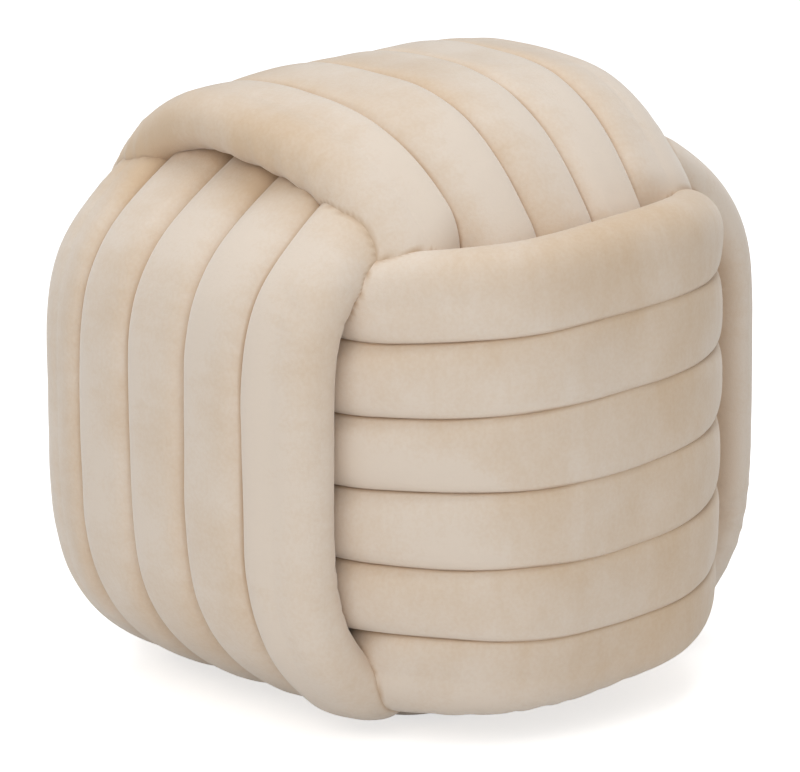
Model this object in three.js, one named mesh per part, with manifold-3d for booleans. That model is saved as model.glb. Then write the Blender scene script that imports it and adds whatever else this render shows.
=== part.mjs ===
// Cube pouf: thirty-two padded velvet tubes in six bands, laced over each other as in a monkey's fist knot.
// Millimetres, +Z up. The pouf stands on Z = 0 with its middle over the origin, its front band faces -Y.
import * as THREE from "three";
import { mergeVertices } from "three/addons/utils/BufferGeometryUtils.js";
import Module from "manifold-3d";

// Driving sizes
const WIDTH = 420; // left crest to right crest
const DEPTH = 420; // front crest to back crest
const HEIGHT = 392;
const MIDDLE = 192; // height at which the side bands bulge most
const CROWN = 26; // from the crown of a tube to its widest place
const BACK = 26; // from there to its back
const COVER_CROWN = 22; // the same for an outer tube, which lies flatter over the ends it covers
const COVER_BACK = 16;
const GAP = 0.3; // clearance between neighbours
const SETTLE = 3; // how far the bottom crowns are pressed flat by the weight
const TUCK = [7.5, 7.5]; // how far a tube runs on under the tubes that cover its two ends
const END = 3.5; // length of the rounded end after that
const END_SCALE = 0.62;

// Shape of a tube's section, as powers of a rounded square
const PRESSED = 2.9; // the side that lies against a neighbour
const FREE = 2.15; // the open side of an outer tube

// The distance from the middle of a band at which its drops and its narrowing are given
const ARM = 150;
const CORNER = [[20, 20], [20, 20]]; // further fall at the low and high corner of either end of a band
const CORNER_BEND = 5; // power of that fall
const FLARE = [[0, 0], [0, 0]]; // growth of the outer tubes at either end, unless a band states it
const TWIST = [0, 0]; // the same for the twist
const RIDE_BEND = 5; // power with which a first tube rises over its neighbour
const FLARE_BEND = [1, 2.5]; // power with which the outer tubes widen towards the start and the end

// Where a tube can touch the tube that covers its end, as distances from the middle of its band
const TOUCH = { from: 60, to: 205, step: 0.5 };
const SPINE = { reach: 190, step: 3 }; // the same for the covering tube's own middle line

// Faces round a tube and steps along it
const SIDES = 12;
const CROWN_SIDES = 8; // how many of them make the crown half
const STEPS = 13;
const CROWDING = 0.25; // how much closer the steps lie at the two bends than in the middle
const MERGE = 1e-4; // points nearer than this are one point

// Each band runs along one axis and is stacked across another, seen from outside.
//   drop    how far the crest falls at either end, ARM from the middle
//   bend    power of that fall at either end: a higher one is squarer
//   sag     how far the outer tubes fall at either side, ARM from the middle
//   slope   power of that fall at either side
//   twist   change of that fall for each millimetre along the tubes, at either side
//   corner  further fall at the corners of either end, ARM from the middle both ways
//   ride    how far the first tube stands out from its neighbour at the start, ARM from the middle
//   flare   growth of the low and high outer tube at either end, ARM from the middle
//   narrow  share of the stack's width that is lost, ARM from the middle
//   lean    rise of the stack for each millimetre along the tubes
//   tuck    how far the tubes run on under the tubes that cover their two ends
//   landing heights at which upright tubes end: one ARM in front of the middle, and one ARM behind it
//   covers  the outer tubes that lie over this band's two ends
const BANDS = {
  top: {
    along: [0, -1, 0], across: [1, 0, 0], out: [0, 0, 1], reach: HEIGHT - MIDDLE,
    count: 5, pitch: 52, outer: [53, 57], shift: -13,
    drop: [82, 65], bend: [2.5, 3.1], sag: [20, 38], slope: [2.3, 4.5], twist: [0.2, 0.12],
    corner: [[45, 20], [20, 20]], narrow: [0.035, 0.14], lean: -0.01, flare: [[-7, 0], [8, 14]],
    covers: ["back_tube_6", "front_tube_6"],
  },
  bottom: {
    along: [0, 1, 0], across: [1, 0, 0], out: [0, 0, -1], reach: MIDDLE + SETTLE,
    count: 5, pitch: 44, outer: [58, 47], shift: 13,
    drop: [36, 36], bend: [4, 4], sag: [8, 8], slope: [3.7, 3.7], narrow: [0.1, 0.1], lean: 0,
    covers: ["front_tube_1", "back_tube_1"],
  },
  front: {
    along: [1, 0, 0], across: [0, 0, 1], out: [0, -1, 0], reach: DEPTH / 2,
    count: 6, pitch: 48.4, outer: [47, 53], flare: [[10.5, 0], [0, -13]], shift: -23,
    drop: [74, 95], bend: [3.5, 2.6], sag: [10, 3], slope: [3.3, 3.3], twist: [-0.06, -0.06],
    corner: [[20, 20], [8, 20]], narrow: [0.085, 0.085], lean: 0.04, tuck: [12, 7.5],
    covers: ["left_tube_1", "right_tube_1"],
  },
  back: {
    along: [-1, 0, 0], across: [0, 0, 1], out: [0, 1, 0], reach: DEPTH / 2,
    count: 6, pitch: 48.4, outer: [50, 53], shift: -31,
    drop: [80, 85], bend: [3.5, 3.5], sag: [18, 6], slope: [3.3, 3.3], narrow: [0.085, 0.085], lean: 0,
    covers: ["right_tube_5", "left_tube_5"],
  },
  left: {
    along: [0, 0, 1], across: [0, 1, 0], out: [-1, 0, 0], reach: WIDTH / 2,
    count: 5, pitch: 50.5, outer: [49, 49], shift: 4,
    drop: [37, 87], bend: [4.4, 3.8], sag: [48, 40], slope: [3.6, 3.6],
    corner: [[-12, -12], [20, 20]], ride: 4.5, narrow: [0, 0], lean: -0.015, landing: [13, 3],
    covers: ["bottom_tube_1", "top_tube_1"],
  },
  right: {
    along: [0, 0, -1], across: [0, 1, 0], out: [1, 0, 0], reach: WIDTH / 2,
    count: 5, pitch: 50.5, outer: [51, 51], shift: 2,
    drop: [98, 28], bend: [3.8, 4.8], sag: [40, 40], slope: [3.6, 3.6],
    corner: [[20, 20], [0, 0]], ride: 8, narrow: [0, 0], lean: 0, landing: [8, 8],
    covers: ["top_tube_5", "bottom_tube_5"],
  },
};

const VELVET = { color: 0xd9c6ae, roughness: 0.9, metalness: 0 };

const wasm = await Module();
wasm.setup();

const side = (place) => (place < 0 ? 0 : 1);

/** How far the crest lies below the band's highest point, at u along the tubes and s across the stack. */
function fall(band, u, s) {
  const end = band.drop[side(u)] * (Math.abs(u) / ARM) ** band.bend[side(u)];
  const twist = (band.twist ?? TWIST)[side(s)];
  const edge = (band.sag[side(s)] + twist * u) * (Math.abs(s) / ARM) ** band.slope[side(s)];
  const corner = (band.corner ?? CORNER)[side(u)][side(s)] * (Math.abs(u * s) / ARM ** 2) ** CORNER_BEND;
  return end + edge + corner;
}

/** The outward direction of the crest at u, as [along, out]. */
function normal(band, u) {
  const [drop, bend] = [band.drop[side(u)], band.bend[side(u)]];
  const steep = Math.sign(u) * drop * bend / ARM * (Math.abs(u) / ARM) ** (bend - 1);
  const length = Math.hypot(steep, 1);
  return [steep / length, 1 / length];
}

/** Moves a point of the band up onto the floor if it lies below it. */
function pressed(band, point) {
  const up = new THREE.Vector3(band.along[2], band.across[2], band.out[2]);
  return point.addScaledVector(up, Math.max(0, -MIDDLE - point.dot(up)));
}

/** A point of the band: u along, s across, and a depth under the crest that the band has at level across. */
function bandPoint(band, u, s, depth, level = s) {
  const [toEnd, toOut] = normal(band, u);
  const along = u - depth * toEnd;
  const across = s * (1 - band.narrow[side(along)] * (along / ARM) ** 2) + band.lean * along;
  const out = band.reach - fall(band, u, level) - depth * toOut;
  return pressed(band, new THREE.Vector3(along, across, out));
}

/** The middle and half the width of a tube at u. */
function span(tube, u) {
  const { band, index } = tube;
  const flare = (band.flare ?? FLARE)[side(u)];
  const inner = (band.count - 2) * band.pitch;
  const [low, high] = [band.shift - inner / 2, band.shift + inner / 2];
  const growth = (Math.abs(u) / ARM) ** FLARE_BEND[side(u)];
  const places = [low - band.outer[0] - growth * flare[0]];
  for (let i = 0; i < band.count - 1; i++) places.push(low + i * band.pitch);
  places.push(high + band.outer[1] + growth * flare[1]);
  return [(places[index] + places[index + 1]) / 2, (places[index + 1] - places[index] - GAP) / 2];
}

/** How far a tube stands out from its band at u. */
function standOut({ band, index }, u) {
  return index === 0 ? (band.ride ?? 0) * (Math.max(0, -u) / ARM) ** RIDE_BEND : 0;
}

/** The turned group that a band's tubes hang in. */
function bandGroup(band) {
  const group = new THREE.Group();
  const axes = [band.along, band.across, band.out].map((axis) => new THREE.Vector3(...axis));
  group.quaternion.setFromRotationMatrix(new THREE.Matrix4().makeBasis(...axes));
  group.position.z = MIDDLE;
  group.updateMatrixWorld();
  return group;
}

/** Every tube, with the band that it belongs to and its number in it. */
function listTubes() {
  const tubes = {};
  for (const [face, band] of Object.entries(BANDS)) {
    const group = bandGroup(band);
    for (let index = 0; index < band.count; index++) {
      const free = [index === 0, index === band.count - 1];
      const [crown, back] = free[0] || free[1] ? [COVER_CROWN, COVER_BACK] : [CROWN, BACK];
      tubes[`${face}_tube_${index + 1}`] = { band, index, group, free, crown, back };
    }
  }
  return tubes;
}

/** A point on the middle of a tube at u, at a depth under its crest, in the whole pouf's frame. */
function middlePoint(tube, u, depth) {
  const [middle] = span(tube, u);
  return bandPoint(tube.band, u, middle, depth - standOut(tube, u)).applyMatrix4(tube.group.matrixWorld);
}

/** Points along the heart of a tube, in the whole pouf's frame. */
function spine(tube) {
  const points = [];
  for (let u = -SPINE.reach; u <= SPINE.reach; u += SPINE.step) points.push(middlePoint(tube, u, tube.crown));
  return points;
}

/** How far along its band a tube's crest runs before the covering tube touches it. */
function reachUnder(tube, cover, direction) {
  const line = spine(cover);
  const [front, rear] = tube.band.landing ?? [-HEIGHT, -HEIGHT];
  const [middle] = span(tube, 0);
  const landing = THREE.MathUtils.mapLinear(middle, -ARM, ARM, front, rear);
  for (let u = TOUCH.from; u < TOUCH.to; u += TOUCH.step) {
    const crest = middlePoint(tube, direction * u, 0);
    const covered = line.some((point) => point.distanceTo(crest) < cover.crown);
    if (covered || crest.z < landing) return direction * u;
  }
  throw new Error("a tube never meets its cover");
}

/** Where the rings of a tube lie along its band, with the scale of each ring. */
function stations(tube) {
  const body = STEPS - 2;
  const tuck = tube.band.tuck ?? TUCK;
  const [first, last] = [tube.start - tuck[0], tube.finish + tuck[1]];
  const rings = [{ u: first - END, scale: END_SCALE }];
  for (let i = 0; i <= body; i++) {
    const t = 2 * i / body - 1;
    const eased = t * (1 + CROWDING) - t ** 3 * CROWDING;
    rings.push({ u: (first + last) / 2 + eased * (last - first) / 2, scale: 1 });
  }
  rings.push({ u: last + END, scale: END_SCALE });
  return rings;
}

/** Spreads the sides so that most of them lie on the crown, from 0 to pi. */
function crownAngle(angle) {
  const crown = 2 * Math.PI * CROWN_SIDES / SIDES;
  if (angle <= crown) return angle / crown * Math.PI;
  return Math.PI + (angle - crown) / (2 * Math.PI - crown) * Math.PI;
}

/** One tube as a bent, squeezed cylinder in its band's frame; grow makes it fatter all round. */
function tubeGeometry(tube, grow = 0) {
  const { band, free, crown, back } = tube;
  const rings = stations(tube);
  const geometry = new THREE.CylinderGeometry(1, 1, 1, SIDES, STEPS);
  geometry.deleteAttribute("normal");
  geometry.deleteAttribute("uv");
  const position = geometry.getAttribute("position");
  for (let i = 0; i < position.count; i++) {
    const [x, y, z] = [position.getX(i), position.getY(i), position.getZ(i)];
    const ring = rings[Math.round((y + 0.5) * STEPS)];
    const [middle, half] = span(tube, ring.u);
    const radius = Math.round(Math.hypot(x, z)) * ring.scale;
    const angle = crownAngle(THREE.MathUtils.euclideanModulo(Math.atan2(-z, x) + MERGE, 2 * Math.PI));
    const [cos, sin] = [Math.cos(angle), Math.sin(angle)];
    const power = 2 / (free[side(cos)] ? FREE : PRESSED);
    const over = Math.sign(cos) * Math.abs(cos) ** power * radius * (half + grow);
    const height = sin < 0 ? back : crown;
    const up = Math.sign(sin) * Math.abs(sin) ** power * radius * (height + grow);
    const level = free[side(cos)] ? middle : middle + over;
    const depth = crown - up - standOut(tube, ring.u);
    const point = bandPoint(band, ring.u, middle + over, depth, level);
    position.setXYZ(i, point.x, point.y, point.z);
  }
  return mergeVertices(geometry, MERGE);
}

/** A closed geometry as a solid, in the whole pouf's frame. */
function solidOf(geometry, group) {
  const placed = geometry.clone().applyMatrix4(group.matrixWorld);
  return new wasm.Manifold(new wasm.Mesh({
    numProp: 3,
    vertProperties: new Float32Array(placed.getAttribute("position").array),
    triVerts: new Uint32Array(placed.getIndex().array),
  }));
}

/** A solid as a geometry in its band's own frame. */
function geometryOf(solid, group) {
  const mesh = solid.getMesh();
  const geometry = new THREE.BufferGeometry();
  geometry.setAttribute("position", new THREE.BufferAttribute(new Float32Array(mesh.vertProperties), 3));
  geometry.setIndex(new THREE.BufferAttribute(new Uint32Array(mesh.triVerts), 1));
  geometry.applyMatrix4(group.matrixWorld.clone().invert());
  geometry.computeVertexNormals();
  return geometry;
}

/** The name of the tube that lies beside an outer tube. */
function besides(name) {
  const [face, , number] = name.split("_");
  return `${face}_tube_${number === "1" ? 2 : number - 1}`;
}

const tubes = listTubes();
for (const tube of Object.values(tubes)) {
  const [startCover, finishCover] = tube.band.covers.map((name) => tubes[name]);
  tube.start = reachUnder(tube, startCover, -1);
  tube.finish = reachUnder(tube, finishCover, 1);
}

const pouf = new THREE.Group();
for (const [name, tube] of Object.entries(tubes)) {
  const whole = solidOf(tubeGeometry(tube), tube.group);
  const solid = tube.band.covers.flatMap((cover) => [cover, besides(cover)]).reduce((rest, cover) => {
    const { group } = tubes[cover];
    return rest.subtract(solidOf(tubeGeometry(tubes[cover], GAP), group));
  }, whole);
  const mesh = new THREE.Mesh(geometryOf(solid, tube.group), new THREE.MeshStandardMaterial(VELVET));
  mesh.name = name;
  tube.group.add(mesh);
  pouf.add(tube.group);
}

export default pouf;
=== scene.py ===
"""Cube pouf in cream velvet: padded tubes laced in six bands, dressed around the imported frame.

Sizes are in millimetres until a mesh is placed, and every mesh is in metres in the frame's axes:
+Z up, the pouf's middle over the origin, its front band facing -Y.
"""

from __future__ import annotations

import logging
import math
from dataclasses import dataclass, field
from enum import Enum

import bmesh
import bpy
import numpy as np
from bmesh.types import BMesh
from bpy.types import Material, NodeOutputs, NodeSocket, NodeTree, Object
from mathutils import Matrix, Vector, noise
from mathutils.bvhtree import BVHTree

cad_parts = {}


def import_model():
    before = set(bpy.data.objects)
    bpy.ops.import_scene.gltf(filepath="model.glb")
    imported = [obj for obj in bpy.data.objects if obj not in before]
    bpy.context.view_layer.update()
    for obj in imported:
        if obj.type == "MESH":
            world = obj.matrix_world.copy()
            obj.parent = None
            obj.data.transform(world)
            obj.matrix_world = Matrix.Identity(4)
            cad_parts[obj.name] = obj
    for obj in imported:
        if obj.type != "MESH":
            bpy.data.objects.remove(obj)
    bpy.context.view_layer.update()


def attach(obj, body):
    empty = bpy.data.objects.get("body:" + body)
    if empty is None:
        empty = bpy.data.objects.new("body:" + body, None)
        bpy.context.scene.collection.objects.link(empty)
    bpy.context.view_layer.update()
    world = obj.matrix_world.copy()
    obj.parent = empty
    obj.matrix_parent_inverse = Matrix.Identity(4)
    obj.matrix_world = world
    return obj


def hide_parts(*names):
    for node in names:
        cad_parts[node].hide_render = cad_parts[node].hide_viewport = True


LOG = logging.getLogger("pouf")

Pair = tuple[float, float]
Triple = tuple[float, float, float]
Color = tuple[float, float, float, float]

MM = 0.001
BODY = "root"


class Face(Enum):
    """The six faces of the cube, each crossed by one band of tubes."""

    TOP = "top"
    BOTTOM = "bottom"
    FRONT = "front"
    BACK = "back"
    LEFT = "left"
    RIGHT = "right"


class Edge(Enum):
    """The two long edges of a tube, as the sign of the way across its band."""

    LOW = -1
    HIGH = 1


@dataclass(frozen=True)
class Knot:
    """The sizes that all the bands share, in millimetres. Bends, squares and rounding are powers.

    Attributes:
        width: The pouf's size from left to right.
        depth: Its size from front to back.
        height: Its height.
        middle: Height of the side bands' middle.
        settle: How far the bottom band is pressed in by the floor.
        arm: Distance from a band's middle at which its falls are given.
        corner_bend: How late the crest falls towards a band's corners.
        ride_bend: How late a first tube rises over the end that it covers.
        flare_bend: How late a band spreads, towards its start and its end.
        gap: Space that the solids leave between neighbours.
        squeeze: How far the velvet of each neighbour swells into the other.
        end: Length of a tube's round end.
        end_bend: How soon a round end closes.
        end_steep: Share of a round end's length that runs along the band, which slopes there.
        free_square: How square the section is at an edge without a neighbour.
        end_square: How square it is at a neighbour, at the ends of a band.
        rounding: How late the section turns from the band's own square to that.
        stray: How far the creases stray.
        stray_length: Length of such a stray.
        shade: How far the painted warm shade reaches from where two tubes touch.
        faded: Distance at which that shade is gone, as a multiple of its reach.
        brim: Length of the painted warm shade under a cover.
        underside: Distance in which an outer tube's underside turns to its full painted shade.
    """

    width: float = 420
    depth: float = 420
    height: float = 392
    middle: float = 192
    settle: float = 3
    arm: float = 150
    corner_bend: float = 5
    ride_bend: float = 5
    flare_bend: Pair = (1, 3.5)
    gap: float = 0.3
    squeeze: float = 2.2
    end: float = 8
    end_bend: float = 0.7
    end_steep: float = 0.5
    free_square: float = 2.15
    end_square: float = 3.2
    rounding: float = 1.7
    stray: float = 1.6
    stray_length: float = 74
    shade: float = 1.2
    faded: float = 2.5
    brim: float = 22
    underside: float = 30


@dataclass(frozen=True)
class Search:
    """Where along a band its tubes are followed to find their ends, in millimetres.

    Attributes:
        near: Nearest place to the band's middle where a tube can end.
        far: Farthest such place.
        step: Distance between two places that are tried.
        spine: Half the length of a covering tube's middle line.
        spine_step: Distance between two points of that line.
    """

    near: float = 60
    far: float = 205
    step: float = 0.5
    spine: float = 190
    spine_step: float = 3


@dataclass(frozen=True)
class Stuffing:
    """How uneven the tubes are, in millimetres, with sizes along and across them.

    Attributes:
        lump: Height of the broad lumps.
        lump_size: Their size.
        slack: Height of the finer waves.
        slack_size: Their size.
        apart: Distance in the noise between the lumps and the waves.
        border_steps: Steps in the noise for a border's number, its face's name and its band's reach.
        tube_steps: The same for a tube's number and its name.
    """

    lump: float = 1.5
    lump_size: Pair = (62, 40)
    slack: float = 0.35
    slack_size: Pair = (24, 34)
    apart: float = 50
    border_steps: Triple = (11.7, 3.1, 5.3)
    tube_steps: Pair = (7.3, 2.9)


@dataclass(frozen=True)
class Padding:
    """How far a tube's section reaches above and below its widest place, in millimetres."""

    crown: float
    back: float


INNER = Padding(crown=26, back=26)
OUTER = Padding(crown=22, back=16)
KNOT = Knot()
SEARCH = Search()
STUFFING = Stuffing()


@dataclass(frozen=True)
class Band:
    """One band of tubes: they run along one axis and are stacked across another, seen from outside.

    A pair is for the tubes' start and end, or for the stack's low and high side.

    Attributes:
        face: The face that the band crosses.
        along: Direction in which the tubes run.
        across: Direction in which they are stacked.
        out: Direction out of the face.
        reach: How far the band's highest point lies from the pouf's middle.
        count: How many tubes there are.
        pitch: Width of an inner tube.
        outer: Width of the first and of the last tube.
        shift: How far the stack lies off the pouf's middle.
        drop: How far the crest falls at the start and the end.
        bend: How late it falls there.
        sag: How far the crest falls at the low and the high side.
        slope: How late it falls there.
        narrow: Share by which the stack is narrower at the start and the end.
        lean: How far the stack leans across for each millimetre along the tubes.
        covers: The tubes that lie over the start and the end.
        twist: How much more each side sags for each millimetre along the tubes.
        flare: How far the low and the high side spread, at the start and at the end.
        corner: How far the low and the high corner fall, at the start and at the end.
        ride: How far the first tube rises over the end that it covers.
        tuck: How far the tubes run on under the covers.
        landing: Height at which tubes on the low and the high side stop, if no cover comes before.
        dive: How far the tubes sink under the covers.
        lead: Length in which they sink.
        dip: How much more the first tube's end sinks, its length aslant and how much further it runs.
        square: How square the section is at a neighbour, in the middle of the band.
        nap_and_shade: Share of the painted shade colour at the start, the middle and the end, from 0 to
            1: painted shade and sheen of the nap as the tubes turn from the light.
        shade_tilt: How much more painted shade a tube's high edge gets; where it is negative, the high
            edge is painted lighter, like a sheen.
        shade_each: How much more painted shade each tube gets.
        shade_brim: How much more painted shade the end gets under its cover.
    """

    face: Face
    along: tuple[int, int, int]
    across: tuple[int, int, int]
    out: tuple[int, int, int]
    reach: float
    count: int
    pitch: float
    outer: Pair
    shift: float
    drop: Pair
    bend: Pair
    sag: Pair
    slope: Pair
    narrow: Pair
    lean: float
    covers: tuple[str, str]
    twist: Pair = (0.0, 0.0)
    flare: tuple[Pair, Pair] = ((0, 0), (0, 0))
    corner: tuple[Pair, Pair] = ((20, 20), (20, 20))
    ride: float = 0.0
    tuck: Pair = (7.5, 7.5)
    landing: Pair = (-KNOT.height, -KNOT.height)
    dive: Pair = (3, 3)
    lead: Pair = (10, 10)
    dip: Triple = (0, 1, 0)
    square: float = 3.7
    # painted shade and sheen in the velvet's colour
    nap_and_shade: Triple = (0.3, 0.3, 0.3)
    shade_tilt: float = 0.0
    shade_each: tuple[float, ...] = (0.0,) * 6
    shade_brim: float = 0.0

    def axes(self) -> Matrix:
        """Returns the turn and the lift from the band's own frame to the pouf's, in millimetres."""
        turn = Matrix((self.along, self.across, self.out)).transposed().to_4x4()
        return Matrix.Translation((0, 0, KNOT.middle)) @ turn

    def fall(self, u: float, s: float) -> float:
        """How far the crest lies below the band's highest point.

        Args:
            u: Place along the tubes.
            s: Place across the stack.

        Returns:
            The fall in millimetres.
        """
        end = self.drop[u >= 0] * (abs(u) / KNOT.arm) ** self.bend[u >= 0]
        edge = (self.sag[s >= 0] + self.twist[s >= 0] * u) * (abs(s) / KNOT.arm) ** self.slope[s >= 0]
        corner = self.corner[u >= 0][s >= 0] * (abs(u * s) / KNOT.arm**2) ** KNOT.corner_bend
        return end + edge + corner

    def normal(self, u: float) -> Pair:
        """The outward direction of the crest.

        Args:
            u: Place along the tubes.

        Returns:
            Its parts along the tubes and outwards.
        """
        drop, bend = self.drop[u >= 0], self.bend[u >= 0]
        steep = math.copysign(drop * bend / KNOT.arm * (abs(u) / KNOT.arm) ** (bend - 1), u)
        length = math.hypot(steep, 1)
        return steep / length, 1 / length

    def point(self, u: float, s: float, depth: float, level: float) -> Vector:
        """A point of the band, in its own frame.

        Args:
            u: Place along the tubes.
            s: Place across the stack.
            depth: Depth under the crest.
            level: Place across the stack whose crest the depth is taken from.

        Returns:
            The point, in millimetres.
        """
        to_end, to_out = self.normal(u)
        along = u - depth * to_end
        across = s * (1 - self.narrow[along >= 0] * (along / KNOT.arm) ** 2) + self.lean * along
        out = self.reach - self.fall(u, level) - depth * to_out
        return Vector((along, across, out))

    def border(self, number: int, u: float) -> float:
        """The place across the stack where one tube ends and the next begins.

        Args:
            number: The border's number in the stack, from 0.
            u: Place along the tubes.

        Returns:
            The place in millimetres.
        """
        inner = (self.count - 2) * self.pitch
        growth = (abs(u) / KNOT.arm) ** KNOT.flare_bend[u >= 0]
        if number == 0:
            return self.shift - inner / 2 - self.outer[0] - growth * self.flare[u >= 0][0]
        if number == self.count:
            return self.shift + inner / 2 + self.outer[1] + growth * self.flare[u >= 0][1]
        return self.shift - inner / 2 + (number - 1) * self.pitch

    def painted_shade(self, u: float) -> float:
        """How much painted shade the velvet gets along the band, apart from what differs within the
        stack.

        Args:
            u: Place along the tubes.

        Returns:
            The share of the painted shade colour.
        """
        # painted shade: the share eases from the middle's value to each end's
        share = min(1.0, abs(u) / KNOT.arm)
        share = share * share * (3 - 2 * share)
        return self.nap_and_shade[1] + (self.nap_and_shade[2 if u >= 0 else 0] - self.nap_and_shade[1]) * share

    def sway(self, border: int, u: float) -> float:
        """How far a border strays from its straight line, because the pouf was laced by hand.

        Args:
            border: The border's number in the stack.
            u: Place along the tubes.

        Returns:
            The stray in millimetres.
        """
        number, name, reach = STUFFING.border_steps
        seed = number * border + name * len(self.face.value) + reach * self.reach
        return KNOT.stray * noise.noise(Vector((u / KNOT.stray_length, seed, 0.5)))


# the nap values of each band paint shade and sheen into the velvet's colour
BANDS = (
    Band(
        Face.TOP, (0, -1, 0), (1, 0, 0), (0, 0, 1), reach=KNOT.height - KNOT.middle,
        count=5, pitch=52, outer=(53, 57), shift=-13, drop=(82, 65), bend=(2.5, 3.1),
        sag=(20, 38), slope=(2.3, 4.5), narrow=(0.035, 0.14), lean=-0.01, twist=(0.2, 0.12),
        flare=((-7, 0), (12, 14)), corner=((45, 20), (20, 20)), tuck=(22, 17),
        square=6.5, nap_and_shade=(0.95, 0.42, 0.1), shade_tilt=-0.38, shade_each=(0, -0.1, -0.05, -0.3, -0.25),
        covers=("back_tube_6", "front_tube_6"),
    ),
    Band(
        Face.BOTTOM, (0, 1, 0), (1, 0, 0), (0, 0, -1), reach=KNOT.middle + KNOT.settle,
        count=5, pitch=44, outer=(58, 47), shift=13, drop=(36, 36), bend=(4, 4),
        sag=(8, 8), slope=(3.7, 3.7), narrow=(0.1, 0.1), lean=0,
        covers=("front_tube_1", "back_tube_1"),
    ),
    Band(
        Face.FRONT, (1, 0, 0), (0, 0, 1), (0, -1, 0), reach=KNOT.depth / 2,
        count=6, pitch=48.4, outer=(47, 53), flare=((10.5, 0), (0, -13)), shift=-23, drop=(74, 95),
        bend=(3.5, 2.6), sag=(10, 3), slope=(3.3, 3.3), narrow=(0.085, 0.085), lean=0.04,
        twist=(-0.06, -0.06), corner=((20, 20), (8, 20)), tuck=(12, 14),
        square=10, nap_and_shade=(0.1, 0.58, 0.8), shade_tilt=0.22,
        covers=("left_tube_1", "right_tube_1"),
    ),
    Band(
        Face.BACK, (-1, 0, 0), (0, 0, 1), (0, 1, 0), reach=KNOT.depth / 2,
        count=6, pitch=48.4, outer=(50, 53), shift=-31, drop=(80, 85), bend=(3.5, 3.5),
        sag=(18, 6), slope=(3.3, 3.3), narrow=(0.085, 0.085), lean=0,
        tuck=(13, 16), square=8, shade_tilt=0.25,
        covers=("right_tube_5", "left_tube_5"),
    ),
    Band(
        Face.LEFT, (0, 0, 1), (0, 1, 0), (-1, 0, 0), reach=KNOT.width / 2,
        count=5, pitch=50.5, outer=(49, 49), shift=4, drop=(37, 87), bend=(4.4, 3.8),
        sag=(48, 40), slope=(3.6, 3.6), narrow=(0, 0), lean=-0.015,
        corner=((-12, -12), (20, 20)), ride=4.5, landing=(13, 3),
        dive=(3, -3), lead=(10, 25), dip=(13, 34, 12), square=3.9,
        nap_and_shade=(0.1, 0.05, 0.0), shade_tilt=-0.25, shade_each=(0, 0.1, 0.1, 0.1, 0.1), shade_brim=0.8,
        covers=("bottom_tube_1", "top_tube_1"),
    ),
    Band(
        Face.RIGHT, (0, 0, -1), (0, 1, 0), (1, 0, 0), reach=KNOT.width / 2,
        count=5, pitch=50.5, outer=(51, 51), shift=2, drop=(98, 28), bend=(3.8, 4.8),
        sag=(40, 40), slope=(3.6, 3.6), narrow=(0, 0), lean=0,
        corner=((20, 20), (0, 0)), ride=8, landing=(8, 8), tuck=(12, 7.5), nap_and_shade=(0.1, 0.0, 0.0),
        covers=("top_tube_5", "bottom_tube_5"),
    ),
)


@dataclass(frozen=True)
class Pucker:
    """A run of short creases that the lacing pulls into one edge of a tube, in millimetres.

    Attributes:
        tube: The tube.
        edge: The edge that the creases start from.
        at: Middle of the run, along the tube.
        spread: Half the run's length.
        reach: How far the creases run in from the edge.
        depth: Their depth.
        pitch: Distance from one crease to the next.
        skew: How far they slant for each millimetre inwards.
        stray: How uneven they are, as a share of the pitch.
        stray_size: Size of that unevenness, along the tube and inwards.
    """

    tube: str
    edge: Edge
    at: float
    spread: float
    reach: float
    depth: float
    pitch: float
    skew: float = 0.0
    stray: float = 0.35
    stray_size: Pair = (17, 25)

    def sink(self, u: float, inward: float) -> float:
        """How far the creases sink the cloth.

        Args:
            u: Place along the tube.
            inward: Distance from the tube's edge, round its crown.

        Returns:
            The depth in millimetres.
        """
        near = math.exp(-(((u - self.at) / self.spread) ** 2) - (max(inward, 0) / self.reach) ** 2)
        long, short = self.stray_size
        stray = self.stray * noise.noise(Vector((u / long, self.at, inward / short)))
        wave = 0.5 + 0.5 * math.cos(2 * math.pi * ((u + self.skew * inward) / self.pitch + stray))
        return self.depth * near * wave**2


@dataclass(frozen=True)
class Dimple:
    """A shallow hollow or a slack fold on a tube's crown, in millimetres.

    Attributes:
        tube: The tube.
        at: Its middle, along the tube and across it from the crest.
        length: Half its length.
        breadth: Half its breadth.
        depth: Its depth.
        turn: How far it is turned from the tube's length, in radians.
    """

    tube: str
    at: Pair
    length: float
    breadth: float
    depth: float
    turn: float = 0.0

    def sink(self, u: float, across: float) -> float:
        """How far the hollow sinks the cloth.

        Args:
            u: Place along the tube.
            across: Distance from the crest, round the crown.

        Returns:
            The depth in millimetres.
        """
        du, dv = u - self.at[0], across - self.at[1]
        cos, sin = math.cos(self.turn), math.sin(self.turn)
        long, short = (du * cos + dv * sin) / self.length, (dv * cos - du * sin) / self.breadth
        return self.depth * math.exp(-(long**2) - short**2)


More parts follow.
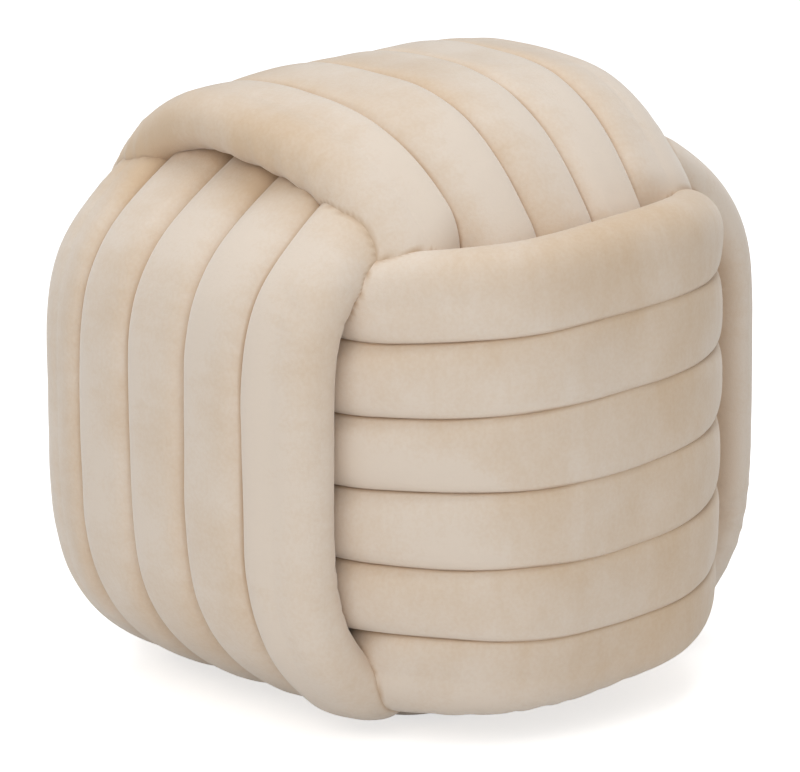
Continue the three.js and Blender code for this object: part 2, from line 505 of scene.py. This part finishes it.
PUCKERS = (
    Pucker("left_tube_1", Edge.LOW, at=104, spread=30, reach=9, depth=0.8, pitch=15, skew=0.3),
    Pucker("left_tube_1", Edge.LOW, at=-92, spread=40, reach=9, depth=0.7, pitch=19, skew=0.2),
    Pucker("top_tube_1", Edge.LOW, at=-128, spread=26, reach=16, depth=2.0, pitch=12, skew=-0.5),
    Pucker("top_tube_1", Edge.LOW, at=40, spread=90, reach=8, depth=1.2, pitch=26, skew=0.2),
    Pucker("front_tube_6", Edge.HIGH, at=-92, spread=26, reach=9, depth=1.0, pitch=15),
    Pucker("front_tube_1", Edge.LOW, at=-60, spread=80, reach=12, depth=1.3, pitch=21),
    Pucker("right_tube_1", Edge.LOW, at=120, spread=40, reach=14, depth=1.6, pitch=14, skew=0.3),
    Pucker("back_tube_6", Edge.HIGH, at=100, spread=30, reach=10, depth=1.3, pitch=14),
    Pucker("top_tube_5", Edge.HIGH, at=118, spread=28, reach=11, depth=1.5, pitch=14, skew=0.3),
)

DIMPLES = (
    Dimple("top_tube_1", at=(-58, -14), length=7, breadth=3.5, depth=1.2, turn=0.9),
    Dimple("top_tube_1", at=(70, 10), length=16, breadth=2.4, depth=0.6, turn=0.5),
    Dimple("top_tube_1", at=(-118, -6), length=20, breadth=3.0, depth=0.9, turn=-0.7),
    Dimple("front_tube_4", at=(30, -4), length=60, breadth=9, depth=0.7, turn=0.1),
    Dimple("left_tube_1", at=(88, -8), length=14, breadth=4, depth=0.9, turn=1.0),
)


@dataclass(frozen=True)
class Section:
    """A tube's outline, as points spread evenly round it from its high edge over the crest.

    Attributes:
        over: Place of each point across the tube, from -1 at its low edge to 1 at its high edge.
        up: Height of each point above the tube's widest place, in millimetres.
        travel: Distance of each point round the outline, in millimetres.
        crown_length: Distance from the high edge to the low edge over the crest.
        girth: Distance all round.
    """

    over: tuple[float, ...]
    up: tuple[float, ...]
    travel: tuple[float, ...]
    crown_length: float
    girth: float


@dataclass
class Tube:
    """One padded tube, with both ends under covers.

    Attributes:
        band: The band that it belongs to.
        index: Its number in the stack, from 0.
        start: Where it goes under the cover at its start, along the band.
        finish: Where it goes under the cover at its end.
        sides: Points round a ring of its mesh.
        rings: Steps along its mesh.
        dome_rings: How many of them make each round end.
        fine: Points along the curve that the rings are spread on.
        samples: Points round the curve that the sides are spread on.
    """

    band: Band
    index: int
    start: float = 0.0
    finish: float = 0.0
    sides: int = 72
    rings: int = 140
    dome_rings: int = 9
    fine: int = 400
    samples: int = 1440

    @property
    def name(self) -> str:
        """The CAD node that this tube stands for."""
        return f"{self.band.face.value}_tube_{self.index + 1}"

    @property
    def free(self) -> tuple[bool, bool]:
        """Whether the low and the high edge lie against no neighbour of the same band."""
        return self.index == 0, self.index == self.band.count - 1

    @property
    def padding(self) -> Padding:
        """The section's sizes: an outer tube lies flatter over the ends that it covers."""
        return OUTER if any(self.free) else INNER

    @property
    def seed(self) -> float:
        """The tube's own place in the noise."""
        number, name = STUFFING.tube_steps
        return number * self.index + name * len(self.name)

    def edges(self, u: float = 0.0, sway: bool = False) -> Pair:
        """The tube's low and high border across the stack.

        Args:
            u: Place along the tube.
            sway: Whether the borders stray from their straight line and swell into their neighbours.

        Returns:
            Both places, in millimetres.
        """
        low = self.band.border(self.index, u) + KNOT.gap / 2
        high = self.band.border(self.index + 1, u) - KNOT.gap / 2
        if sway:
            low += self.band.sway(self.index, u) - (0 if self.free[0] else KNOT.squeeze)
            high += self.band.sway(self.index + 1, u) + (0 if self.free[1] else KNOT.squeeze)
        return low, high

    def middle(self, u: float = 0.0) -> float:
        """The place across the stack of the tube's middle line, in millimetres."""
        return sum(self.edges(u)) / 2

    def section(self, square: float) -> Section:
        """Draws the outline, measured round in even steps.

        Args:
            square: How square the outline is at a neighbour of the same band.

        Returns:
            The outline.
        """
        low, high = self.edges()
        half, pad = (high - low) / 2, self.padding
        turns = np.linspace(0, 2 * math.pi, self.samples + 1)
        cos, sin = np.cos(turns), np.sin(turns)
        power = 2 / np.where(cos < 0, *(KNOT.free_square if loose else square for loose in self.free))
        over = np.sign(cos) * np.abs(cos) ** power
        up = np.sign(sin) * np.abs(sin) ** power * np.where(sin < 0, pad.back, pad.crown)
        steps = np.hypot(np.diff(over * half), np.diff(up))
        travel = np.concatenate([[0], np.cumsum(steps)])
        even = np.linspace(0, travel[-1], self.sides + 1)[:-1]
        return Section(
            over=tuple(np.interp(even, travel, over)),
            up=tuple(np.interp(even, travel, up)),
            travel=tuple(even),
            crown_length=float(travel[self.samples // 2]),
            girth=float(travel[-1]),
        )

    def stand_out(self, u: float) -> float:
        """How far the tube stands out from its band, in millimetres."""
        return self.band.ride * (max(0.0, -u) / KNOT.arm) ** KNOT.ride_bend if self.index == 0 else 0.0

    def dive(self, u: float, over: float) -> float:
        """How far an end of the tube sinks under its cover.

        Args:
            u: Place along the tube.
            over: Place across it, from -1 at its low edge to 1 at its high edge.

        Returns:
            The depth in millimetres.
        """
        lead, rear = self.band.lead
        start = self.band.dive[0] * (max(0.0, self.start + lead - u) / lead) ** 2
        finish = self.band.dive[1] * (max(0.0, u - self.finish + rear) / rear) ** 2
        if self.index:
            return start + finish
        deep, length, _ = self.band.dip
        aslant = self.finish - length * (1 - over) / 2
        return start + finish + deep * (max(0.0, u - aslant) / length) ** 2

    def crest(self, u: float) -> Vector:
        """A point of the crest, in the pouf's frame, in millimetres."""
        middle = self.middle(u)
        return self.band.axes() @ self.band.point(u, middle, -self.stand_out(u), middle)

    def spine(self) -> np.ndarray:
        """Returns points along the tube's middle line, in the pouf's frame, in millimetres."""
        axes, crown, points = self.band.axes(), self.padding.crown, []
        for u in np.arange(-SEARCH.spine, SEARCH.spine, SEARCH.spine_step):
            middle = self.middle(u)
            points.append(axes @ self.band.point(u, middle, crown - self.stand_out(u), middle))
        return np.array(points)

    def reach_under(self, cover: Tube, direction: int) -> float:
        """How far the tube runs before the tube that covers its end touches it.

        Args:
            cover: The covering tube.
            direction: 1 towards the end of the band, -1 towards its start.

        Returns:
            The place along the band.
        """
        line = cover.spine()
        front, rear = self.band.landing
        landing = front + (rear - front) * (self.middle() + KNOT.arm) / (2 * KNOT.arm)
        for u in np.arange(SEARCH.near, SEARCH.far, SEARCH.step):
            crest = np.array(self.crest(direction * u))
            covered = np.linalg.norm(line - crest, axis=1).min() < cover.padding.crown
            if covered or crest[2] < landing:
                return float(direction * u)
        raise ValueError(f"{self.name} never meets {cover.name}")

    def stations(self) -> list[Triple]:
        """Where the rings lie along the tube.

        Returns:
            For each ring its place, its scale and its distance along the cloth.
        """
        first, last = self.start - self.band.tuck[0], self.finish + self.band.tuck[1]
        last += 0 if self.index else self.band.dip[2]
        fine = np.linspace(first, last, self.fine)
        crest = np.array([self.crest(u) for u in fine])
        travel = np.concatenate([[0], np.cumsum(np.linalg.norm(np.diff(crest, axis=0), axis=1))])
        body = self.rings - 2 * self.dome_rings
        places = np.interp(np.linspace(0, travel[-1], body + 1), travel, fine)
        rings = []
        for ring in range(self.rings + 1):
            inside = min(max(ring - self.dome_rings, 0), body)
            beyond = (ring - self.dome_rings - inside) / self.dome_rings
            angle = abs(beyond) * math.pi / 2
            rise = math.copysign(KNOT.end * math.sin(angle), beyond) if beyond else 0.0
            along = float(places[inside]) + rise * KNOT.end_steep
            rings.append((along, math.cos(angle) ** KNOT.end_bend, inside * travel[-1] / body + rise))
        return rings

    def painted_shade(self, u: float, over: float) -> float:
        """How much painted shade the velvet gets at a place of the tube.

        Args:
            u: Place along the tube.
            over: Place across it, from -1 at its low edge to 1 at its high edge.

        Returns:
            The share of the painted shade colour.
        """
        # painted shade: more under the cover, across each tube and on each tube
        hidden = min(1.0, max(0.0, u - self.finish + KNOT.brim) / KNOT.brim)
        local = self.band.shade_tilt * over + self.band.shade_each[self.index]
        return self.band.painted_shade(u) + local + self.band.shade_brim * hidden

    def shaded(self, section: Section, side: int) -> float:
        """How much painted deep shade an outer tube's underside gets, as its cloth turns away from the
        light.

        Args:
            section: The tube's outline.
            side: The point's number round it.

        Returns:
            1 well under the pouf, falling to 0 at the tube's widest place.
        """
        if section.up[side] >= 0:
            return 0.0
        travel = section.travel[side]
        under = section.girth - travel if section.over[side] > 0 else travel - section.crown_length
        return min(1.0, max(0.0, under) / KNOT.underside)

    def relief(self, u: float, round_crown: float, crown_length: float) -> float:
        """How far the stuffing pushes the cloth out, or a crease pulls it in.

        Args:
            u: Place along the tube.
            round_crown: Distance from the high edge, round the crown.
            crown_length: Distance from edge to edge, round the crown.

        Returns:
            The move outwards in millimetres.
        """
        across = crown_length / 2 - round_crown
        crown = max(0.0, 1 - (across / (crown_length / 2)) ** 2)
        move = 0.0
        for height, (long, short), seed in (
            (STUFFING.lump, STUFFING.lump_size, self.seed),
            (STUFFING.slack, STUFFING.slack_size, self.seed + STUFFING.apart),
        ):
            move += height * noise.noise(Vector((u / long, across / short, seed))) * crown
        for pucker in PUCKERS:
            if pucker.tube == self.name:
                inward = round_crown if pucker.edge is Edge.HIGH else crown_length - round_crown
                move -= pucker.sink(u, inward)
        for dimple in DIMPLES:
            if dimple.tube == self.name:
                move -= dimple.sink(u, across)
        return move

    def build(self) -> Object:
        """Builds the tube, with its object at the origin and its place in its mesh."""
        section, rings = self.section(self.band.square), self.stations()
        bm = self.sphere(rings[-1][2] - rings[0][2], section.girth)
        moves = self.sweep(bm, section, rings)
        bmesh.ops.recalc_face_normals(bm, faces=bm.faces[:])
        bm.normal_update()
        for vert, move in zip(bm.verts, moves):
            vert.co += vert.normal * move
        bmesh.ops.transform(bm, matrix=Matrix.Scale(MM, 4), verts=bm.verts[:])
        for vert in bm.verts:
            vert.co.z = max(vert.co.z, 0.0)  # flat where the tube rests on the floor
        mesh = bpy.data.meshes.new(f"velvet_{self.name}")
        bm.to_mesh(mesh)
        bm.free()
        mesh.shade_smooth()
        piece = bpy.data.objects.new(f"velvet_{self.name}", mesh)
        bpy.context.scene.collection.objects.link(piece)
        return piece

    def sphere(self, length: float, girth: float) -> BMesh:
        """Starts the mesh as a closed sphere with a ring for each station.

        Args:
            length: Length of the tube's cloth, in millimetres.
            girth: Distance round the tube.

        Returns:
            The sphere, with its cloth laid out in metres and two empty layers for the painted shade.
        """
        bm = bmesh.new()
        lay = bm.loops.layers.uv.new("Lay")
        # layers for the painted shade and the painted deep shade
        bm.verts.layers.float.new("PaintedShade")
        bm.verts.layers.float.new("PaintedDeepShade")
        bmesh.ops.create_uvsphere(
            bm, u_segments=self.sides, v_segments=self.rings, radius=1.0, calc_uvs=True
        )
        for bm_face in bm.faces:
            for loop in bm_face.loops:
                loop[lay].uv = (loop[lay].uv.y * length * MM, loop[lay].uv.x * girth * MM)
        return bm

    def sweep(self, bm: BMesh, section: Section, rings: list[Triple]) -> list[float]:
        """Moves the sphere's points to the tube's smooth surface and fills its layers.

        Args:
            bm: The sphere. Its points are in millimetres afterwards, in the pouf's frame.
            section: The outline in the middle of the band.
            rings: The stations along the tube.

        Returns:
            How far each point still moves outwards.
        """
        # the layers of the painted shade and of the painted deep shade
        nap_and_shade, deep_shade = (bm.verts.layers.float[name] for name in ("PaintedShade", "PaintedDeepShade"))
        end, axes, moves = self.section(KNOT.end_square), self.band.axes(), []
        low_free, high_free = self.free
        for vert in bm.verts:
            ring = round(math.acos(max(-1.0, min(1.0, vert.co.z))) / math.pi * self.rings)
            side = round(math.atan2(vert.co.y, vert.co.x) / (2 * math.pi) * self.sides) % self.sides
            u, scale, _ = rings[ring]
            low, high = self.edges(u, sway=True)
            share = min(1.0, abs(u) / KNOT.arm) ** KNOT.rounding
            over = (section.over[side] * (1 - share) + end.over[side] * share) * scale
            up = (section.up[side] * (1 - share) + end.up[side] * share) * scale
            place = (low + high) / 2 + over * (high - low) / 2
            loose = low_free if over < 0 else high_free
            depth = self.padding.crown - up - self.stand_out(u) + self.dive(u, over)
            vert.co = axes @ self.band.point(u, place, depth, self.middle(u) if loose else place)
            moves.append(self.relief(u, section.travel[side], section.crown_length) * scale)
            # painted shade and sheen share, and painted deep shade under outer tubes
            vert[nap_and_shade] = self.painted_shade(u, section.over[side])
            vert[deep_shade] = self.shaded(section, side)
        return moves


@dataclass
class NapAndShadeGroup:
    """Shader group for velvet: broad patches, short stroke marks and the fine pile, with the painted
    shade and sheen mixed into its colour.

    Attributes:
        name: The group's name.
        tree: The group itself, once it is built.
        stretch: Scale of the stroke marks round the tube, which draws them out that way.
        soft: Part of the patches' noise that is stretched to the range from 0 to 1.
        sharp: The same part for the stroke marks and the grain.
        stroke_share: How much the stroke marks count beside the patches.
        grain_share: How much the grain counts beside them.
        mean: What is taken off the sum of the three, so that it is about 0 on average.
        roughness: Lowest and highest roughness.
        pile_bump: Depth of the pile, in metres.
        stroke_bump: Depth of the stroke marks, in metres, and the share of it that shows.
        grain_bump: The same for the grain.
    """

    name: str = "Velvet nap"
    tree: NodeTree = field(init=False)
    stretch: float = 0.35
    soft: Pair = (0.36, 0.64)
    sharp: Pair = (0.30, 0.70)
    stroke_share: float = 0.45
    grain_share: float = 0.5
    mean: float = 0.97
    roughness: Pair = (0.78, 0.95)
    pile_bump: float = 0.0004
    stroke_bump: Pair = (0.0012, 0.16)
    grain_bump: Pair = (0.0005, 0.35)

    def build(self) -> NodeTree:
        """Returns the group, with its sockets and nodes."""
        self.tree = bpy.data.node_groups.new(self.name, "ShaderNodeTree")
        nodes, link, face = self.tree.nodes, self.tree.links.new, self.tree.interface
        for label, kind, value in (
            # the lit colour, the painted shade colour and the painted deep shade colour
            ("Lit", "Color", (0.8, 0.7, 0.6, 1)),
            ("Painted Shade", "Color", (0.7, 0.6, 0.5, 1)),
            ("Painted Deep Shade", "Color", (0.6, 0.45, 0.3, 1)),
            ("Patch Scale", "Float", 14.0),
            ("Stroke Scale", "Float", 90.0),
            ("Pile Scale", "Float", 1800.0),
            ("Grain Scale", "Float", 420.0),
            ("Contrast", "Float", 0.35),
            ("Pile Height", "Float", 0.3),
        ):
            socket = face.new_socket(label, in_out="INPUT", socket_type=f"NodeSocket{kind}")
            socket.default_value = value
        for label, kind in (("Color", "Color"), ("Roughness", "Float"), ("Normal", "Vector")):
            face.new_socket(label, in_out="OUTPUT", socket_type=f"NodeSocket{kind}")
        inlet, outlet = nodes.new("NodeGroupInput").outputs, nodes.new("NodeGroupOutput").inputs
        noises = self.noises(inlet)
        marks = self.spread(noises["Stroke"], self.sharp)
        link(self.color(inlet, noises, marks), outlet["Color"])
        link(self.rough(marks), outlet["Roughness"])
        link(self.normal(inlet, noises), outlet["Normal"])
        return self.tree

    def noises(self, inlet: NodeOutputs) -> dict[str, NodeSocket]:
        """Adds the noise textures.

        Args:
            inlet: The group's inputs.

        Returns:
            Each noise by its name.
        """
        nodes, link, noises = self.tree.nodes, self.tree.links.new, {}
        place, lay = nodes.new("ShaderNodeTexCoord"), nodes.new("ShaderNodeUVMap")
        lay.uv_map = "Lay"
        stretch = nodes.new("ShaderNodeMapping")
        stretch.inputs["Scale"].default_value = (1.0, self.stretch, 1.0)
        link(lay.outputs["UV"], stretch.inputs["Vector"])
        for name, source, detail in (
            ("Patch", place.outputs["Object"], 3.0),
            ("Stroke", stretch.outputs["Vector"], 4.0),
            ("Pile", place.outputs["Object"], 2.0),
            ("Grain", place.outputs["Object"], 4.0),
        ):
            texture = nodes.new("ShaderNodeTexNoise")
            texture.inputs["Detail"].default_value = detail
            link(inlet[f"{name} Scale"], texture.inputs["Scale"])
            link(source, texture.inputs["Vector"])
            noises[name] = texture.outputs["Fac"]
        return noises

    def color(
        self, inlet: NodeOutputs, noises: dict[str, NodeSocket], marks: NodeSocket
    ) -> NodeSocket:
        """Adds the colour: the lit colour or the painted shade colour, with mottling, and the painted
        deep shade colour where tubes touch and under outer tubes.

        Args:
            inlet: The group's inputs.
            noises: The noise textures.
            marks: The stroke marks.

        Returns:
            The colour.
        """
        patches = self.spread(noises["Patch"], self.soft)
        specks = self.spread(noises["Grain"], self.sharp)
        broad = self.blend("MULTIPLY_ADD", marks, self.stroke_share, patches)
        both = self.blend("MULTIPLY_ADD", specks, self.grain_share, broad)
        stray = self.blend("SUBTRACT", both, self.mean)
        # the painted shade share and the painted deep shade mask
        over, deep_shade = (self.tree.nodes.new("ShaderNodeAttribute") for _ in range(2))
        over.attribute_name, deep_shade.attribute_name = "PaintedShade", "PaintedDeepShade"
        share = self.blend("MULTIPLY_ADD", stray, inlet["Contrast"], over.outputs["Fac"])
        share.node.use_clamp = True
        cloth = self.mix(share, inlet["Lit"], inlet["Painted Shade"])
        return self.mix(deep_shade.outputs["Fac"], cloth, inlet["Painted Deep Shade"])

    def rough(self, marks: NodeSocket) -> NodeSocket:
        """Adds the roughness.

        Args:
            marks: The stroke marks, which it follows.

        Returns:
            The roughness.
        """
        rough = self.tree.nodes.new("ShaderNodeMapRange")
        rough.inputs["To Min"].default_value, rough.inputs["To Max"].default_value = self.roughness
        self.tree.links.new(marks, rough.inputs["Value"])
        return rough.outputs["Result"]

    def normal(self, inlet: NodeOutputs, noises: dict[str, NodeSocket]) -> NodeSocket:
        """Adds the relief: the pile, the stroke marks over it and the grain over both.

        Args:
            inlet: The group's inputs.
            noises: The noise textures.

        Returns:
            The normal.
        """
        link = self.tree.links.new
        fuzz, brush, crush = (self.tree.nodes.new("ShaderNodeBump") for _ in range(3))
        fuzz.inputs["Distance"].default_value = self.pile_bump
        link(inlet["Pile Height"], fuzz.inputs["Strength"])
        link(noises["Pile"], fuzz.inputs["Height"])
        for bump, name, under, (distance, strength) in (
            (brush, "Stroke", fuzz, self.stroke_bump),
            (crush, "Grain", brush, self.grain_bump),
        ):
            bump.inputs["Distance"].default_value = distance
            bump.inputs["Strength"].default_value = strength
            link(noises[name], bump.inputs["Height"])
            link(under.outputs["Normal"], bump.inputs["Normal"])
        return crush.outputs["Normal"]

    def blend(self, operation: str, *terms: float | NodeSocket) -> NodeSocket:
        """Adds a sum.

        Args:
            operation: The sum's name.
            terms: Its terms, plain numbers or other nodes' values.

        Returns:
            The result.
        """
        node = self.tree.nodes.new("ShaderNodeMath")
        node.operation = operation
        for socket, term in zip(node.inputs, terms):
            if isinstance(term, NodeSocket):
                self.tree.links.new(term, socket)
            else:
                socket.default_value = term
        return node.outputs[0]

    def mix(self, *terms: NodeSocket) -> NodeSocket:
        """Adds a mix of two colours.

        Args:
            terms: The second colour's share, the first colour and the second.

        Returns:
            The mixed colour.
        """
        node = self.tree.nodes.new("ShaderNodeMix")
        node.data_type = "RGBA"
        for name, term in zip(("Factor", "A", "B"), terms):
            self.tree.links.new(term, node.inputs[name])
        return node.outputs["Result"]

    def spread(self, value: NodeSocket, part: Pair) -> NodeSocket:
        """Stretches a noise value to the whole range from 0 to 1.

        Args:
            value: The noise.
            part: The values that become 0 and 1.

        Returns:
            The stretched value.
        """
        ramp = self.tree.nodes.new("ShaderNodeMapRange")
        ramp.interpolation_type = "SMOOTHSTEP"
        ramp.inputs["From Min"].default_value, ramp.inputs["From Max"].default_value = part
        self.tree.links.new(value, ramp.inputs["Value"])
        return ramp.outputs["Result"]


@dataclass(frozen=True)
class CreamVelvet:
    """The finish of every tube: pale cream velvet that turns lighter and greyer at a slant.

    Attributes:
        lit: Colour of the velvet in light, where no painted shade falls.
        painted_shade: Warmer, darker colour of the painted shade and sheen, also the dark side of the
            mottling.
        crease: Colour of the painted deep shade, where tubes touch and under outer tubes.
        sheen: Tint of the sheen.
        sheen_weight: Strength of the sheen.
        sheen_roughness: How widely the sheen spreads.
        specular: Strength of the plain reflection.
    """

    # lit colour, then the colours of the painted shade and of the painted deep shade
    lit: Color = (0.81, 0.705, 0.60, 1)
    painted_shade: Color = (0.70, 0.53, 0.365, 1)
    crease: Color = (0.60, 0.44, 0.30, 1)
    sheen: Color = (1.0, 0.98, 0.95, 1)
    sheen_weight: float = 0.6
    sheen_roughness: float = 0.5
    specular: float = 0.15

    def material(self, nap_and_shade: NodeTree) -> Material:
        """Builds the material.

        Args:
            nap_and_shade: The shared group for the velvet's nap and its painted shade.

        Returns:
            The velvet.
        """
        velvet = bpy.data.materials.new("cream_velvet")
        velvet.use_nodes = True
        nodes, links = velvet.node_tree.nodes, velvet.node_tree.links
        cloth, group = nodes["Principled BSDF"], nodes.new("ShaderNodeGroup")
        group.node_tree = nap_and_shade
        for node, name, value in (
            (cloth, "Specular IOR Level", self.specular),
            (cloth, "Sheen Weight", self.sheen_weight),
            (cloth, "Sheen Roughness", self.sheen_roughness),
            (cloth, "Sheen Tint", self.sheen),
            (group, "Lit", self.lit),
            (group, "Painted Shade", self.painted_shade),
            (group, "Painted Deep Shade", self.crease),
        ):
            node.inputs[name].default_value = value
        for given, taken in (("Color", "Base Color"), ("Roughness", "Roughness"), ("Normal", "Normal")):
            links.new(group.outputs[given], cloth.inputs[taken])
        return velvet


@dataclass
class Pouf:
    """The whole knot: six bands of tubes, each over the ends of the next.

    Attributes:
        finish: The tubes' velvet.
        fill: How full of stuffing the tubes are, as a share. It is not used.
    """

    finish: CreamVelvet = field(default_factory=CreamVelvet)
    fill: float = 0.9

    def tubes(self) -> list[Tube]:
        """Returns every tube, with its two ends under the tubes that cover them."""
        every = (Tube(band, index) for band in BANDS for index in range(band.count))
        tubes = {tube.name: tube for tube in every}
        for tube in tubes.values():
            first, last = (tubes[name] for name in tube.band.covers)
            tube.start = tube.reach_under(first, -1)
            tube.finish = tube.reach_under(last, 1)
        return list(tubes.values())

    def build(self) -> None:
        """Builds and dresses every tube in the place of its CAD node, hangs it on the body and hides
        that node.
        """
        velvet = self.finish.material(NapAndShadeGroup().build())
        tubes = self.tubes()
        pieces = [tube.build() for tube in tubes]
        self.shade_contacts(pieces)
        for tube, piece in zip(tubes, pieces):
            piece.data.materials.append(velvet)
            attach(piece, BODY)
            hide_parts(tube.name)
            LOG.info("%s: %d faces", piece.name, len(piece.data.polygons))

    @staticmethod
    def shade_contacts(pieces: list[Object]) -> None:
        """Paints deep shade on every tube where its cloth touches another tube.

        Args:
            pieces: The tubes.
        """
        shade = KNOT.shade * MM
        reach = KNOT.faded * shade
        trees, boxes = [], []
        for piece in pieces:
            bm = bmesh.new()
            bm.from_mesh(piece.data)
            trees.append(BVHTree.FromBMesh(bm))
            places = np.array([vert.co for vert in bm.verts])
            boxes.append((places.min(axis=0) - reach, places.max(axis=0) + reach))
            bm.free()
        for own, (piece, (low, high)) in enumerate(zip(pieces, boxes)):
            near = [
                tree for other, (tree, box) in enumerate(zip(trees, boxes))
                if other != own and (box[0] < high).all() and (low < box[1]).all()
            ]
            # painted deep shade: darker the nearer another tube's cloth lies
            for vert, deep_shade in zip(piece.data.vertices, piece.data.attributes["PaintedDeepShade"].data):
                for tree in near:
                    gap = tree.find_nearest(vert.co, reach)[3]
                    if gap is not None:
                        deep_shade.value = max(deep_shade.value, math.exp(-((gap / shade) ** 2)))


@dataclass(frozen=True)
class PhotoCamera:
    """The photograph's view: a long lens from the front left, a little above the pouf.

    Attributes:
        azimuth: Turn from the front, in radians, to the left where it is negative.
        elevation: Angle above the floor.
        roll: Turn round the line of sight.
        distance: Distance from the target, in metres.
        target: The place that the camera looks at.
        lens: Focal length, in millimetres.
        sensor: Width of the sensor, in millimetres.
        shift: Shift of the picture, in widths of the sensor.
    """

    azimuth: float = math.radians(-43.17)
    elevation: float = math.radians(14.19)
    roll: float = math.radians(-0.71)
    distance: float = 2.768
    target: Triple = (0, 0, 0.192)
    lens: float = 197.2
    sensor: float = 36
    shift: Pair = (-0.0084, -0.0234)

    def build(self) -> Object:
        """Places the camera and makes it the scene's own."""
        data = bpy.data.cameras.new("photo_camera")
        data.lens, data.sensor_width = self.lens, self.sensor
        data.shift_x, data.shift_y = self.shift
        camera = bpy.data.objects.new("photo_camera", data)
        back = Vector((
            math.sin(self.azimuth) * math.cos(self.elevation),
            -math.cos(self.azimuth) * math.cos(self.elevation),
            math.sin(self.elevation),
        ))
        look = back.to_track_quat("Z", "Y").to_matrix().to_4x4()
        place = Matrix.Translation(Vector(self.target) + back * self.distance)
        camera.matrix_world = place @ look @ Matrix.Rotation(self.roll, 4, "Z")
        bpy.context.scene.collection.objects.link(camera)
        bpy.context.scene.camera = camera
        return camera


@dataclass(frozen=True)
class SoftLight:
    """A square softbox, aimed at the pouf.

    Attributes:
        name: The light's name.
        place: Its place, in metres.
        size: Its side.
        power: Its power, in watts.
        color: Its colour.
    """

    name: str
    place: Triple
    size: float
    power: float
    color: Triple = (1, 1, 1)

    def build(self) -> None:
        """Hangs the light and turns it to the pouf's middle."""
        data = bpy.data.lights.new(self.name, "AREA")
        data.shape, data.size = "SQUARE", self.size
        data.energy, data.color = self.power, self.color
        light = bpy.data.objects.new(self.name, data)
        light.location = self.place
        aim = Vector((0, 0, KNOT.middle * MM)) - light.location
        light.rotation_euler = aim.to_track_quat("-Z", "Y").to_euler()
        bpy.context.scene.collection.objects.link(light)


@dataclass(frozen=True)
class Studio:
    """Pale floor, even white surroundings and soft light from the upper left.

    Attributes:
        floor_size: The floor's side, in metres.
        floor_color: The floor's colour.
        floor_roughness: Its roughness.
        world_strength: Strength of the light from all round.
        glow: How much brighter the floor is to the camera alone, as in a cut-out photograph.
        lights: The softboxes.
    """

    floor_size: float = 14.0
    floor_color: Color = (0.9, 0.9, 0.9, 1)
    floor_roughness: float = 0.9
    world_strength: float = 0.34
    glow: float = 0.65
    lights: tuple[SoftLight, ...] = (
        SoftLight("key", (-2.4, -1.2, 2.6), 2.2, 33, (1.0, 0.985, 0.96)),
        SoftLight("top", (0.3, 0.3, 3.2), 2.6, 49),
        SoftLight("fill", (-1.6, -2.4, 0.9), 2.0, 8, (1.0, 0.97, 0.94)),
    )

    def build(self) -> None:
        """Lays the floor, fills the world with light and hangs the softboxes."""
        bm = bmesh.new()
        bmesh.ops.create_grid(bm, x_segments=1, y_segments=1, size=self.floor_size / 2)
        mesh = bpy.data.meshes.new("floor")
        bm.to_mesh(mesh)
        bm.free()
        floor = bpy.data.objects.new("floor", mesh)
        bpy.context.scene.collection.objects.link(floor)
        paint = bpy.data.materials.new("studio_floor")
        paint.use_nodes = True
        coat = paint.node_tree.nodes["Principled BSDF"]
        coat.inputs["Base Color"].default_value = self.floor_color
        coat.inputs["Roughness"].default_value = self.floor_roughness
        coat.inputs["Emission Color"].default_value = (1, 1, 1, 1)
        self.for_camera(paint.node_tree, self.glow, 0.0, coat.inputs["Emission Strength"])
        mesh.materials.append(paint)
        world = bpy.data.worlds.new("studio")
        world.use_nodes = True
        sky = world.node_tree.nodes["Background"]
        sky.inputs["Color"].default_value = (1, 1, 1, 1)
        self.for_camera(world.node_tree, 1.0, self.world_strength, sky.inputs["Strength"])
        bpy.context.scene.world = world
        bpy.context.scene.view_settings.view_transform = "Standard"
        for light in self.lights:
            light.build()

    @staticmethod
    def for_camera(tree: NodeTree, seen: float, lighting: float, socket: NodeSocket) -> None:
        """Gives a socket one value for what the camera sees and another for the light that falls.

        Args:
            tree: The world's or the material's nodes.
            seen: The value for the camera.
            lighting: The value for everything else.
            socket: The socket.
        """
        path, scale = tree.nodes.new("ShaderNodeLightPath"), tree.nodes.new("ShaderNodeMapRange")
        scale.inputs["To Min"].default_value = lighting
        scale.inputs["To Max"].default_value = seen
        tree.links.new(path.outputs["Is Camera Ray"], scale.inputs["Value"])
        tree.links.new(scale.outputs["Result"], socket)


def main() -> None:
    """Loads the frame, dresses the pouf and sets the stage."""
    logging.basicConfig(level=logging.INFO, format="%(name)s %(message)s")
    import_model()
    PhotoCamera().build()
    Pouf().build()
    Studio().build()
    bpy.context.view_layer.update()


if __name__ == "__main__":
    main()
